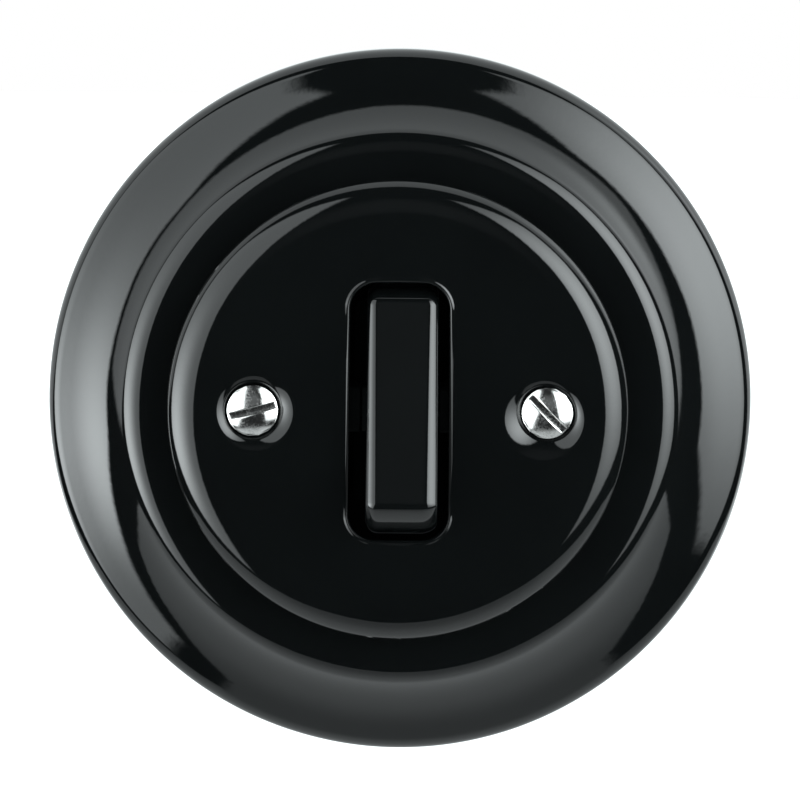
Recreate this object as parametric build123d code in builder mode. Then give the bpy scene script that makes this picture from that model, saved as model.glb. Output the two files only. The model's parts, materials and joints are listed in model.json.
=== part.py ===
from build123d import *
import os
from math import asin, cos, degrees, hypot, radians, sin, sqrt, tan

os.makedirs("parts", exist_ok=True)

# Round flush rocker switch with a porcelain frame, cover and key.
# The wall is the plane Y = 0, the front faces -Y and +Z is up.
# Sizes are in millimetres and degrees. A height is a distance out of the wall, towards -Y.

# Cover screws and the pillars that take them
screw_spacing = 41.1
screw_d = 3.9
screw_head_d = 7.2
screw_head_edge = 0.7
screw_head_dome = 1.25
screw_slot_w = 0.8
screw_slot_depth = 1.1
screw_slot_angles = (14.6, -45.0)
screw_length = 14.0
thread_clearance = 0.05
pillar_d = 6.0
pillar_rivet_d = 3.9
pillar_gap = 0.15
pillar_hole_depth = 12.0
washer_d = 6.8
washer_t = 0.4

# Porcelain frame
frame_height = 16.4
frame_border_w = 14.15
frame_ledge_w = 3.65
frame_edge_wall = 4.0
frame_edge_round = 3.4
frame_flange_slope = 27.5
frame_flange_run = 1.7
frame_crown_round = 4.0
frame_foot_w = 5.5
frame_foot_wall = 3.0
frame_top_wall = 4.5
frame_foot_round = 0.5

# Porcelain cover
cover_seat_w = 2.5
cover_rise = 6.0
cover_shoulder_round = 5.8
cover_shoulder_turn = 57.0
cover_wall = 3.5
spigot_wall = 3.2
spigot_depth = 2.4
spigot_clearance = 0.4
spigot_to_pillar = 2.55
cover_hole_shift = 0.3
cover_hole_d = 4.8
cover_boss_d = 10.0
cover_boss_length = 3.0
dish_d = 12.9
dish_slope = 48.0
dish_depth = 1.5
dish_lip_round = 3.0
slot_length = 35.3
slot_corner_round = 3.6
slot_lip_round = 0.75

# Porcelain key
key_w = 10.0
key_side_gap = 1.87
key_end_gap = 0.3
key_end_slope = 67.0
key_end_round = 4.4
key_proud = 3.1
key_aside = 0.3
key_edge_round = 1.6
key_wall = 2.0
key_floor = 1.6
rocker_tilt = 10.0

# Cradle, pin, plunger and spring
pin_d = 2.0
pin_chamfer = 0.2
pin_running_clearance = 0.04
cradle_plate_t = 1.4
cradle_inset = 0.4
cradle_end_inset = 1.2
cradle_socket_gap = 0.15
cradle_socket_depth = 3.8
hub_wall = 2.2
tube_wall = 0.9
tube_reach = 10.4
spring_bore_d = 4.2
spring_seat = 2.3
plunger_clearance = 0.06
plunger_length = 6.0
plunger_stub_d = 1.9
plunger_stub_length = 1.4
spring_wire_d = 0.45
spring_side_gap = 0.12
spring_turns = 5
spring_end_gap = 0.05
nose_gap = 0.1

# Contact lever and contacts
lever_pivot_height = 1.6
lever_tilt = 6.0
lever_length = 25.0
lever_w = 6.0
lever_t = 1.2
lever_top = 2.4
fulcrum_d = 3.0
fulcrum_clearance = 0.05
fulcrum_length = 5.0
fulcrum_neck = 2.0
saddle_w = 5.2
saddle_floor = 0.15
contact_d = 3.2
contact_inset = 2.0
lever_contact_t = 1.2
fixed_contact_t = 0.9
contact_dome_r = 5.0
contact_gap = 0.08

# Terminals
arm_t = 1.0
arm_w = 5.0
arm_overlap = 2.0
terminal_w = 8.0
terminal_thickness = 6.0
terminal_depth = 15.0
terminal_gap = 0.15
terminal_to_chamber = 1.8
terminal_screw_d = 3.4
terminal_screw_length = 4.2
terminal_screw_slot = 0.7
terminal_screw_height = -9.5
wire_bore_d = 3.0
wire_bore_reach = 11.0
wire_entry_clearance = 0.3
driver_clearance = 0.5

# Strap, base and lid
strap_t = 1.2
strap_h = 60.0
strap_margin = 2.5
strap_corner_round = 10.0
box_screw_spacing = 60.0
box_slot_w = 4.2
box_slot_length = 7.0
rim_wall = 0.85
rim_fit = 0.2
base_shoulder = 2.0
base_depth = 20.0
base_corner_round = 5.0
rim_corner_round = 2.0
lid_overlap = 1.8
lid_flange_t = 1.8
lid_wall = 1.5
lid_corner_round = 3.0
lid_chamber_gap = 0.4
chamber_side_gap = 2.0
lid_screw_d = 2.9
lid_screw_head_d = 5.4
lid_screw_head_t = 1.7
lid_screw_slot_w = 0.8
lid_screw_length = 11.0
lid_screw_hole_clearance = 0.15
lid_screw_edge = 2.5
lid_screw_to_terminal = 6.2
ear_gap = 0.3
ear_t = 2.5
ear_w = 6.4
ear_cap = 1.7
ear_clearance = 0.2
ear_corner_round = 0.8
tube_clearance = 0.7

# Radii worked out from the pillars outwards
pillar_x = screw_spacing / 2
spigot_inner_r = pillar_x + pillar_d / 2 + spigot_to_pillar
spigot_outer_r = spigot_inner_r + spigot_wall
frame_bore_r = spigot_outer_r + spigot_clearance
cover_r = frame_bore_r + cover_seat_w
crown_flat_r = cover_r + frame_ledge_w
frame_r = crown_flat_r + frame_border_w

# Heights worked out from the frame outwards
cover_face = frame_height + cover_rise
cover_under = cover_face - cover_wall
ear_top = cover_under - ear_clearance
pivot_height = ear_top - ear_cap
dish_floor = cover_face - dish_depth
screw_seat = dish_floor + washer_t
head_dome_r = ((screw_head_d / 2) ** 2 + screw_head_dome**2) / (2 * screw_head_dome)
boss_end = cover_under - cover_boss_length
pillar_top = boss_end - pillar_gap

# Key, measured from the pin: reach outwards and reach towards its ends
face_reach = cover_face - pivot_height
under_reach = cover_under - pivot_height
key_top = face_reach + key_proud
key_end_r = hypot(slot_length / 2 - key_end_gap, face_reach)
key_foot = sqrt(key_end_r**2 - key_floor**2)
key_crown = key_foot - (key_top - key_floor) / tan(radians(key_end_slope))
slot_w = key_w + 2 * key_side_gap
slot_back_length = 2 * (sqrt(key_end_r**2 - under_reach**2) + key_end_gap)
slot_back_growth = slot_back_length - slot_length
cradle_length = 2 * (key_end_r - cradle_end_inset)
cradle_w = key_w - 2 * cradle_inset
socket_w = key_w - 2 * key_wall
socket_length = 2 * (key_crown - key_wall)
hub_r = pin_d / 2 + hub_wall
tube_r = spring_bore_d / 2 + tube_wall
plunger_r = spring_bore_d / 2 - plunger_clearance
lever_top_height = lever_pivot_height + lever_top
nose_reach = pivot_height - lever_top_height - nose_gap
plunger_back = nose_reach - plunger_length

# Lever and terminals
lever_turn = radians(lever_tilt)
contact_z = lever_length / 2 - contact_inset
lever_under = lever_top - lever_t
contact_face = lever_under - lever_contact_t
fixed_contact_top = (
    lever_pivot_height + contact_face * cos(lever_turn) - contact_z * sin(lever_turn) - contact_gap
)
fixed_contact_z = contact_z * cos(lever_turn) + contact_face * sin(lever_turn)
arm_top = fixed_contact_top - fixed_contact_t
arm_under = arm_top - arm_t
arm_start = contact_z - arm_overlap
chamber_half_z = lever_length / 2 + lid_chamber_gap
chamber_half_x = lever_w / 2 + chamber_side_gap
common_start = chamber_half_x + terminal_to_chamber

# Base, lid and strap
base_pocket_z = chamber_half_z + terminal_thickness
base_pocket_x = common_start + terminal_thickness
rim_half_x = base_pocket_x + terminal_gap + rim_wall
rim_half_z = base_pocket_z + terminal_gap + rim_wall
base_half_x = rim_half_x + base_shoulder
base_half_z = rim_half_z + base_shoulder
flange_half_x = rim_half_x + rim_fit + lid_overlap
flange_half_z = rim_half_z + rim_fit + lid_overlap
lid_screw_x = terminal_w / 2 + lid_screw_to_terminal
lid_screw_z = rim_half_z - lid_screw_edge
lid_screw_spacing = (2 * lid_screw_x, 2 * lid_screw_z)
lid_chamber_top = lever_top_height + lever_length / 2 * sin(lever_turn) + lid_chamber_gap
lid_top = lid_chamber_top + lid_wall
flange_top = strap_t + lid_flange_t
ear_inner_x = key_w / 2 + key_aside + ear_gap
ear_outer_x = ear_inner_x + ear_t
strap_w = box_screw_spacing + box_slot_length + 2 * strap_margin
tube_swing = tube_reach * sin(radians(rocker_tilt))
lid_mouth_z = 2 * (tube_swing + tube_r + tube_clearance)
lid_mouth_x = 2 * (tube_r + tube_clearance)


def out_of_wall(height):
    """A plane parallel to the wall that faces the room, with X across and Z up."""
    return Plane.XZ.offset(height)


def half_section(x=0.0):
    """The plane of a turned profile about an axis out of the wall: radius across, height up."""
    return Plane(origin=(x, 0, 0), x_dir=(1, 0, 0), z_dir=(0, 0, -1))


def axis_out(x=0.0):
    """The axis out of the wall at one place across it."""
    return Axis((x, 0, 0), (0, -1, 0))


# The key and its cradle are tilted with the upper end in, the lever with the upper end out
rocker_turn = radians(rocker_tilt)
pivot = (0, -pivot_height, 0)
rocker_out = (0, -cos(rocker_turn), sin(rocker_turn))
rocker_in = (0, cos(rocker_turn), -sin(rocker_turn))
rocker_up = (0, sin(rocker_turn), cos(rocker_turn))
rocker_front = Plane(origin=pivot, x_dir=(1, 0, 0), z_dir=rocker_out)
rocker_side = Plane(origin=pivot, x_dir=rocker_up, z_dir=(1, 0, 0))
lever_pivot = (0, -lever_pivot_height, 0)
lever_out = (0, -cos(lever_turn), -sin(lever_turn))
lever_up = (0, -sin(lever_turn), cos(lever_turn))
lever_front = Plane(origin=lever_pivot, x_dir=(1, 0, 0), z_dir=lever_out)
lever_side = Plane(origin=lever_pivot, x_dir=lever_up, z_dir=(1, 0, 0))

# Frame ring: the cove is the arc that runs on from the flange and meets the crown round
flange_turn = radians(frame_flange_slope)
flange_end_x = (
    frame_r - frame_edge_round * (1 - sin(flange_turn)) - frame_flange_run * cos(flange_turn)
)
flange_end_y = (
    frame_edge_wall + frame_edge_round * cos(flange_turn) + frame_flange_run * sin(flange_turn)
)
to_flange_x = flange_end_x - crown_flat_r
to_flange_y = flange_end_y - (frame_height - frame_crown_round)
flange_lean = to_flange_x * sin(flange_turn) + to_flange_y * cos(flange_turn)
cove_r = (to_flange_x**2 + to_flange_y**2 - frame_crown_round**2) / (
    2 * (frame_crown_round - flange_lean)
)
cove_top_slope = degrees(
    asin((to_flange_x + cove_r * sin(flange_turn)) / (cove_r + frame_crown_round))
)
hollow_r = frame_r - frame_foot_w
hollow_top = frame_height - frame_top_wall

with BuildPart() as frame_ring:
    with BuildSketch(half_section()):
        with BuildLine():
            wall = Line((frame_r, 0), (frame_r, frame_edge_wall))
            edge = JernArc(wall @ 1, wall % 1, frame_edge_round, 90 - frame_flange_slope)
            flange = PolarLine(edge @ 1, frame_flange_run, direction=edge % 1)
            cove = JernArc(flange @ 1, flange % 1, cove_r, frame_flange_slope - cove_top_slope)
            crown = JernArc(cove @ 1, cove % 1, frame_crown_round, cove_top_slope)
            Polyline(
                crown @ 1,
                (frame_bore_r, frame_height),
                (frame_bore_r, hollow_top),
                (crown_flat_r, hollow_top),
                (hollow_r, frame_foot_wall),
                (hollow_r, 0),
                wall @ 0,
            )
        make_face()
    revolve(axis=axis_out())
    foot_edges = frame_ring.edges().filter_by(GeomType.CIRCLE).group_by(Axis.Y)[-1]
    fillet(foot_edges, frame_foot_round)

frame_ring.part.label = "frame_ring"
export_step(frame_ring.part, "parts/frame_ring.step")

# Cover plate: turned disc with a spigot that drops into the frame, a drafted slot and two dishes
cover_hole_x = pillar_x - cover_hole_shift
shoulder_turn = radians(cover_shoulder_turn)
rim_height = cover_face - cover_shoulder_round * (1 - cos(shoulder_turn))
dish_turn = radians(dish_slope)
dish_cone_run = (dish_depth - dish_lip_round * (1 - cos(dish_turn))) / sin(dish_turn)

with BuildPart() as cover_plate:
    with BuildSketch(half_section()):
        with BuildLine():
            rim = Line((cover_r, frame_height), (cover_r, rim_height))
            rim_lean = (-cos(shoulder_turn), sin(shoulder_turn))
            shoulder = JernArc(rim @ 1, rim_lean, cover_shoulder_round, cover_shoulder_turn)
            Polyline(
                shoulder @ 1,
                (0, cover_face),
                (0, cover_under),
                (spigot_inner_r, cover_under),
                (spigot_inner_r, frame_height - spigot_depth),
                (spigot_outer_r, frame_height - spigot_depth),
                (spigot_outer_r, frame_height),
                rim @ 0,
            )
        make_face()
    revolve(axis=axis_out())
    with BuildSketch(out_of_wall(cover_under)):
        with Locations((-cover_hole_x, 0), (cover_hole_x, 0)):
            Circle(cover_boss_d / 2)
    extrude(amount=-cover_boss_length)
    for x in (-cover_hole_x, cover_hole_x):
        with BuildSketch(half_section(x)):
            with BuildLine():
                lip = JernArc((dish_d / 2, cover_face), (-1, 0), dish_lip_round, dish_slope)
                cone = PolarLine(lip @ 1, dish_cone_run, direction=lip % 1)
                Polyline(
                    cone @ 1,
                    (cover_hole_d / 2, dish_floor),
                    (cover_hole_d / 2, boss_end),
                    (0, boss_end),
                    (0, cover_face),
                    lip @ 0,
                )
            make_face()
        revolve(axis=axis_out(x), mode=Mode.SUBTRACT)
    with BuildSketch(out_of_wall(cover_face)):
        RectangleRounded(slot_w, slot_length, slot_corner_round)
    with BuildSketch(out_of_wall(cover_under)):
        RectangleRounded(slot_w + slot_back_growth, slot_back_length, slot_corner_round)
    loft(mode=Mode.SUBTRACT)
    slot_mouth = cover_plate.faces().sort_by(Axis.Y)[0].inner_wires().sort_by(SortBy.LENGTH)[-1]
    fillet(slot_mouth.edges(), slot_lip_round)

cover_plate.part.label = "cover_plate"
export_step(cover_plate.part, "parts/cover_plate.step")

# Cover screws: domed slotted heads, each left at its own turn, with shanks down into the pillars
with BuildPart() as cover_screws:
    for x, slot_angle in zip((-pillar_x, pillar_x), screw_slot_angles):
        with BuildSketch(half_section(x)):
            with BuildLine():
                side = Line(
                    (screw_head_d / 2, screw_seat), (screw_head_d / 2, screw_seat + screw_head_edge)
                )
                dome_top = (0, screw_seat + screw_head_edge + screw_head_dome)
                RadiusArc(side @ 1, dome_top, -head_dome_r)
                Polyline(
                    dome_top,
                    (0, screw_seat - screw_length),
                    (screw_d / 2, screw_seat - screw_length),
                    (screw_d / 2, screw_seat),
                    side @ 0,
                )
            make_face()
        revolve(axis=axis_out(x))
        with BuildSketch(out_of_wall(screw_seat + screw_head_edge + screw_head_dome)):
            with Locations(Location((x, 0), slot_angle)):
                Rectangle(2 * screw_head_d, screw_slot_w)
        extrude(amount=-screw_slot_depth, mode=Mode.SUBTRACT)

cover_screws.part.label = "cover_screws"
export_step(cover_screws.part, "parts/cover_screws.step")

# Washers between the screw heads and the porcelain
with BuildPart() as screw_washers:
    with BuildSketch(out_of_wall(dish_floor)):
        with Locations((-pillar_x, 0), (pillar_x, 0)):
            Circle(washer_d / 2)
            Circle(screw_d / 2 + thread_clearance, mode=Mode.SUBTRACT)
    extrude(amount=washer_t)

screw_washers.part.label = "screw_washers"
export_step(screw_washers.part, "parts/screw_washers.step")

# Pillars: riveted through the strap and tapped for the cover screws
with BuildPart() as cover_pillars:
    with BuildSketch(out_of_wall(strap_t)):
        with Locations((-pillar_x, 0), (pillar_x, 0)):
            Circle(pillar_d / 2)
    extrude(amount=pillar_top - strap_t)
    with BuildSketch(out_of_wall(0)):
        with Locations((-pillar_x, 0), (pillar_x, 0)):
            Circle(pillar_rivet_d / 2)
    extrude(amount=strap_t)
    with BuildSketch(out_of_wall(pillar_top)):
        with Locations((-pillar_x, 0), (pillar_x, 0)):
            Circle(screw_d / 2 + thread_clearance)
    extrude(amount=-pillar_hole_depth, mode=Mode.SUBTRACT)

cover_pillars.part.label = "cover_pillars"
export_step(cover_pillars.part, "parts/cover_pillars.step")

# Key: a bar with sloped ends rounded into its face, hollow underneath for the cradle
with BuildPart() as rocker_key:
    with BuildSketch(rocker_side.offset(key_aside - key_w / 2)) as key_side:
        with Locations((0, (key_floor + key_top) / 2)):
            Trapezoid(2 * key_foot, key_top - key_floor, key_end_slope)
        fillet(key_side.vertices().group_by(Axis.Y)[-1], key_end_round)
    extrude(amount=key_w)
    soft_edges = [
        edge
        for key_flank in rocker_key.faces().filter_by(Axis.X)
        for edge in key_flank.edges().sort_by(Axis(pivot, rocker_out))[1:]
    ]
    fillet(soft_edges, key_edge_round)
    with BuildSketch(rocker_front.offset(key_floor)):
        Rectangle(socket_w, socket_length)
    extrude(amount=cradle_socket_depth + cradle_socket_gap, mode=Mode.SUBTRACT)

rocker_key.part.label = "rocker_key"
export_step(rocker_key.part, "parts/rocker_key.step")

# Cradle: plate under the key, tongue in its socket, hub on the pin and tube for the spring
with BuildPart() as rocker_cradle:
    with BuildSketch(rocker_front.offset(key_floor)):
        RectangleRounded(cradle_w, cradle_length, key_edge_round)
    extrude(amount=-cradle_plate_t)
    with BuildSketch(rocker_front.offset(key_floor)):
        Rectangle(socket_w - 2 * cradle_socket_gap, socket_length - 2 * cradle_socket_gap)
    extrude(amount=cradle_socket_depth)
    with BuildSketch(rocker_side):
        Circle(hub_r)
        with Locations((0, key_floor - hub_r)):
            Rectangle(2 * hub_r, 2 * hub_r, mode=Mode.INTERSECT)
    extrude(amount=ear_inner_x - ear_gap, both=True)
    with BuildSketch(rocker_front):
        Circle(tube_r)
    extrude(amount=-tube_reach)
    with BuildSketch(rocker_side):
        Circle(pin_d / 2 + pin_running_clearance)
    extrude(amount=ear_inner_x - ear_gap, both=True, mode=Mode.SUBTRACT)
    with BuildSketch(rocker_front.offset(-spring_seat)):
        Circle(spring_bore_d / 2)
    extrude(amount=spring_seat - tube_reach, mode=Mode.SUBTRACT)

rocker_cradle.part.label = "rocker_cradle"
export_step(rocker_cradle.part, "parts/rocker_cradle.step")

# Pin through the ears of the lid
with BuildPart() as pivot_pin:
    with BuildSketch(Plane.YZ):
        with Locations((-pivot_height, 0)):
            Circle(pin_d / 2)
    extrude(amount=ear_outer_x, both=True)
    chamfer(pivot_pin.edges(), pin_chamfer)

pivot_pin.part.label = "pivot_pin"
export_step(pivot_pin.part, "parts/pivot_pin.step")

# Plunger: round-nosed pin with a stub that centres the spring
with BuildPart() as plunger:
    with BuildSketch(rocker_side):
        with BuildLine():
            nose = RadiusArc((0, -nose_reach), (plunger_r, plunger_r - nose_reach), -plunger_r)
            Polyline(
                nose @ 1,
                (plunger_r, -plunger_back),
                (plunger_stub_d / 2, -plunger_back),
                (plunger_stub_d / 2, plunger_stub_length - plunger_back),
                (0, plunger_stub_length - plunger_back),
                nose @ 0,
            )
        make_face()
    revolve(axis=Axis(pivot, rocker_out))

plunger.part.label = "plunger"
export_step(plunger.part, "parts/plunger.step")

# Coil spring between the floor of the tube and the plunger
coil_r = spring_bore_d / 2 - spring_side_gap - spring_wire_d / 2
coil_top = -spring_seat - spring_end_gap - spring_wire_d / 2
coil_height = plunger_back + coil_top - spring_end_gap - spring_wire_d / 2

with BuildPart() as plunger_spring:
    with BuildLine(rocker_front.offset(coil_top)) as coil_line:
        coil = Helix(coil_height / spring_turns, coil_height, coil_r, direction=rocker_in)
    with BuildSketch(Plane(origin=coil @ 0, z_dir=coil % 0)):
        Circle(spring_wire_d / 2)
    sweep(path=coil_line.line, is_frenet=True)

plunger_spring.part.label = "plunger_spring"
export_step(plunger_spring.part, "parts/plunger_spring.step")

# Strap: flat plate with a window for the mechanism, slots for the box screws and rivet holes
with BuildPart() as mounting_strap:
    with BuildSketch(out_of_wall(0)):
        RectangleRounded(strap_w, strap_h, strap_corner_round)
        RectangleRounded(
            2 * (rim_half_x + rim_fit),
            2 * (rim_half_z + rim_fit),
            rim_corner_round,
            mode=Mode.SUBTRACT,
        )
        with GridLocations(box_screw_spacing, 1, 2, 1):
            SlotOverall(box_slot_length, box_slot_w, mode=Mode.SUBTRACT)
        with GridLocations(screw_spacing, 1, 2, 1):
            Circle(pillar_rivet_d / 2 + thread_clearance, mode=Mode.SUBTRACT)
    extrude(amount=strap_t)

mounting_strap.part.label = "mounting_strap"
export_step(mounting_strap.part, "parts/mounting_strap.step")

# Terminals: a drilled block at the edge of the base, with an arm under the lever.
# Each is described by the way it points from the middle: up, down or to the right.
upper_way = Plane.XZ
lower_way = Plane(origin=(0, 0, 0), x_dir=(-1, 0, 0), z_dir=(0, -1, 0))
common_way = Plane(origin=(0, 0, 0), x_dir=(0, 0, -1), z_dir=(0, -1, 0))
terminal_places = ((upper_way, chamber_half_z), (lower_way, chamber_half_z), (common_way, common_start))


def terminal(way, start, arm_from):
    """Solid block from start outwards, with the arm that reaches back from it to arm_from."""
    block_mid = start + terminal_thickness / 2
    with BuildPart() as block:
        with BuildSketch(way.offset(strap_t)):
            with Locations((0, block_mid)):
                Rectangle(terminal_w, terminal_thickness)
        extrude(amount=-terminal_depth - strap_t)
        with BuildSketch(way.offset(arm_under)):
            with Locations((0, (arm_from + start) / 2)):
                Rectangle(arm_w, start - arm_from)
        extrude(amount=arm_t)
        with BuildSketch(way.offset(-terminal_depth)):
            with Locations((0, block_mid)):
                Circle(wire_bore_d / 2)
        extrude(amount=wire_bore_reach, mode=Mode.SUBTRACT)
        with BuildSketch(clamp_plane(way, block_mid)):
            Circle(terminal_screw_d / 2 + thread_clearance)
        extrude(amount=terminal_thickness, mode=Mode.SUBTRACT)
    return block


def clamp_plane(way, distance):
    """Plane across a clamp screw, at a distance from the middle and facing outwards."""
    origin = way.offset(terminal_screw_height).from_local_coords((0, distance, 0))
    return Plane(origin=origin, x_dir=way.z_dir, z_dir=way.y_dir)


upper_terminal = terminal(upper_way, chamber_half_z, arm_start)
lower_terminal = terminal(lower_way, chamber_half_z, arm_start)
common_blank = terminal(common_way, common_start, -fulcrum_length / 2)

upper_terminal.part.label = "upper_terminal"
export_step(upper_terminal.part, "parts/upper_terminal.step")

lower_terminal.part.label = "lower_terminal"
export_step(lower_terminal.part, "parts/lower_terminal.step")

with BuildPart() as common_terminal:
    add(common_blank.part)
    with BuildSketch(out_of_wall(arm_top)):
        Rectangle(fulcrum_length, fulcrum_neck)
    extrude(amount=lever_pivot_height - arm_top)
    with BuildSketch(Plane.YZ):
        with Locations((-lever_pivot_height, 0)):
            Circle(fulcrum_d / 2)
    extrude(amount=fulcrum_length / 2, both=True)

common_terminal.part.label = "common_terminal"
export_step(common_terminal.part, "parts/common_terminal.step")

# Clamp screws: headless, with a driver slot, backed off so that the wire bores are free
with BuildPart() as terminal_screws:
    for way, start in terminal_places:
        clamp_tip = start + (terminal_thickness + wire_bore_d) / 2
        clamp_head = clamp_tip + terminal_screw_length
        with BuildSketch(clamp_plane(way, clamp_tip)):
            Circle(terminal_screw_d / 2)
        extrude(amount=terminal_screw_length)
        with BuildSketch(clamp_plane(way, clamp_head)):
            Rectangle(terminal_screw_slot, 2 * terminal_screw_d)
        extrude(amount=-terminal_screw_slot, mode=Mode.SUBTRACT)

terminal_screws.part.label = "terminal_screws"
export_step(terminal_screws.part, "parts/terminal_screws.step")

# Fixed contacts on the arms of the upper and lower terminals
with BuildPart() as fixed_contacts:
    with BuildSketch(out_of_wall(arm_top)):
        with GridLocations(1, 2 * fixed_contact_z, 1, 2):
            Circle(contact_d / 2)
    extrude(amount=fixed_contact_t)
    with Locations(
        (0, contact_dome_r - fixed_contact_top, fixed_contact_z),
        (0, contact_dome_r - fixed_contact_top, -fixed_contact_z),
    ):
        Sphere(contact_dome_r, mode=Mode.INTERSECT)

fixed_contacts.part.label = "fixed_contacts"
export_step(fixed_contacts.part, "parts/fixed_contacts.step")

# Lever: a bar with a saddle underneath that rides on the round fulcrum
with BuildPart() as contact_lever:
    with BuildSketch(lever_front.offset(lever_under)):
        RectangleRounded(lever_w, lever_length, lever_t)
    extrude(amount=lever_t)
    with BuildSketch(lever_front.offset(saddle_floor)):
        Rectangle(lever_w, saddle_w)
    extrude(amount=lever_under - saddle_floor)
    with BuildSketch(lever_side):
        Circle(fulcrum_d / 2 + fulcrum_clearance)
    extrude(amount=lever_w / 2, both=True, mode=Mode.SUBTRACT)

contact_lever.part.label = "contact_lever"
export_step(contact_lever.part, "parts/contact_lever.step")

# Silver contacts under the two ends of the lever
with BuildPart() as lever_contacts:
    with BuildSketch(lever_front.offset(lever_under)):
        with GridLocations(1, 2 * contact_z, 1, 2):
            Circle(contact_d / 2)
    extrude(amount=-lever_contact_t)

lever_contacts.part.label = "lever_contacts"
export_step(lever_contacts.part, "parts/lever_contacts.step")

# Base: block in the wall box, with a rim in the strap's window, a chamber and three pockets
with BuildPart() as mechanism_base:
    with BuildSketch(out_of_wall(0)):
        RectangleRounded(2 * base_half_x, 2 * base_half_z, base_corner_round)
    extrude(amount=-base_depth)
    with BuildSketch(out_of_wall(0)):
        RectangleRounded(2 * rim_half_x, 2 * rim_half_z, rim_corner_round)
    extrude(amount=strap_t)
    with BuildSketch(out_of_wall(strap_t)):
        Rectangle(2 * chamber_half_x, 2 * chamber_half_z)
        with Locations((common_start / 2, 0)):
            Rectangle(common_start, arm_w + 2 * terminal_gap)
    extrude(amount=arm_under - strap_t, mode=Mode.SUBTRACT)
    for way, start in terminal_places:
        block_mid = start + terminal_thickness / 2
        with BuildSketch(way.offset(strap_t)):
            with Locations((0, block_mid)):
                Rectangle(terminal_w + 2 * terminal_gap, terminal_thickness + 2 * terminal_gap)
        extrude(amount=-terminal_depth - strap_t, mode=Mode.SUBTRACT)
        with BuildSketch(way.offset(-base_depth)):
            with Locations((0, block_mid)):
                Circle(wire_bore_d / 2 + wire_entry_clearance)
        extrude(amount=base_depth - terminal_depth, mode=Mode.SUBTRACT)
        with BuildSketch(clamp_plane(way, block_mid)):
            Circle(terminal_screw_d / 2 + driver_clearance)
        extrude(amount=base_half_z, mode=Mode.SUBTRACT)
    with BuildSketch(out_of_wall(strap_t)):
        with GridLocations(*lid_screw_spacing, 2, 2):
            Circle(lid_screw_d / 2 + thread_clearance)
    extrude(amount=-lid_screw_length, mode=Mode.SUBTRACT)

mechanism_base.part.label = "mechanism_base"
export_step(mechanism_base.part, "parts/mechanism_base.step")

# Lid: flange on the strap, hood over the lever and two ears for the pin
with BuildPart() as mechanism_lid:
    with BuildSketch(out_of_wall(strap_t)):
        RectangleRounded(2 * flange_half_x, 2 * flange_half_z, lid_corner_round)
    extrude(amount=lid_flange_t)
    with BuildSketch(out_of_wall(strap_t)):
        RectangleRounded(
            2 * (chamber_half_x + lid_wall), 2 * (chamber_half_z + lid_wall), lid_wall
        )
    extrude(amount=lid_top - strap_t)
    for x in (-ear_outer_x, ear_inner_x):
        with BuildSketch(Plane.YZ.offset(x)):
            with Locations((-(lid_top + ear_top) / 2, 0)):
                Rectangle(ear_top - lid_top, ear_w)
        extrude(amount=ear_t)
    ear_tips = mechanism_lid.edges().filter_by(Axis.X).group_by(Axis.Y)[0]
    fillet(ear_tips, ear_corner_round)
    with BuildSketch(out_of_wall(strap_t)):
        Rectangle(2 * chamber_half_x, 2 * chamber_half_z)
    extrude(amount=lid_chamber_top - strap_t, mode=Mode.SUBTRACT)
    with BuildSketch(out_of_wall(lid_chamber_top)):
        Rectangle(lid_mouth_x, lid_mouth_z)
    extrude(amount=lid_wall, mode=Mode.SUBTRACT)
    with BuildSketch(Plane.YZ):
        with Locations((-pivot_height, 0)):
            Circle(pin_d / 2)
    extrude(amount=ear_outer_x, both=True, mode=Mode.SUBTRACT)
    with BuildSketch(out_of_wall(strap_t)):
        with GridLocations(*lid_screw_spacing, 2, 2):
            Circle(lid_screw_d / 2 + lid_screw_hole_clearance)
    extrude(amount=lid_flange_t, mode=Mode.SUBTRACT)

mechanism_lid.part.label = "mechanism_lid"
export_step(mechanism_lid.part, "parts/mechanism_lid.step")

# Screws that clamp the strap between the lid and the base
with BuildPart() as lid_screws:
    with BuildSketch(out_of_wall(flange_top)):
        with GridLocations(*lid_screw_spacing, 2, 2):
            Circle(lid_screw_d / 2)
    extrude(amount=lid_screw_head_t - lid_screw_length)
    with BuildSketch(out_of_wall(flange_top)):
        with GridLocations(*lid_screw_spacing, 2, 2):
            Circle(lid_screw_head_d / 2)
    extrude(amount=lid_screw_head_t)
    with BuildSketch(out_of_wall(flange_top + lid_screw_head_t)):
        with GridLocations(*lid_screw_spacing, 2, 2):
            Rectangle(2 * lid_screw_head_d, lid_screw_slot_w)
    extrude(amount=-lid_screw_slot_w, mode=Mode.SUBTRACT)

lid_screws.part.label = "lid_screws"
export_step(lid_screws.part, "parts/lid_screws.step")
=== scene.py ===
import bmesh
import bpy
import json
from math import acos, asin, atan2, ceil, copysign, cos, hypot, pi, radians, sin, sqrt, tan
from mathutils import Matrix, Vector


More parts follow.
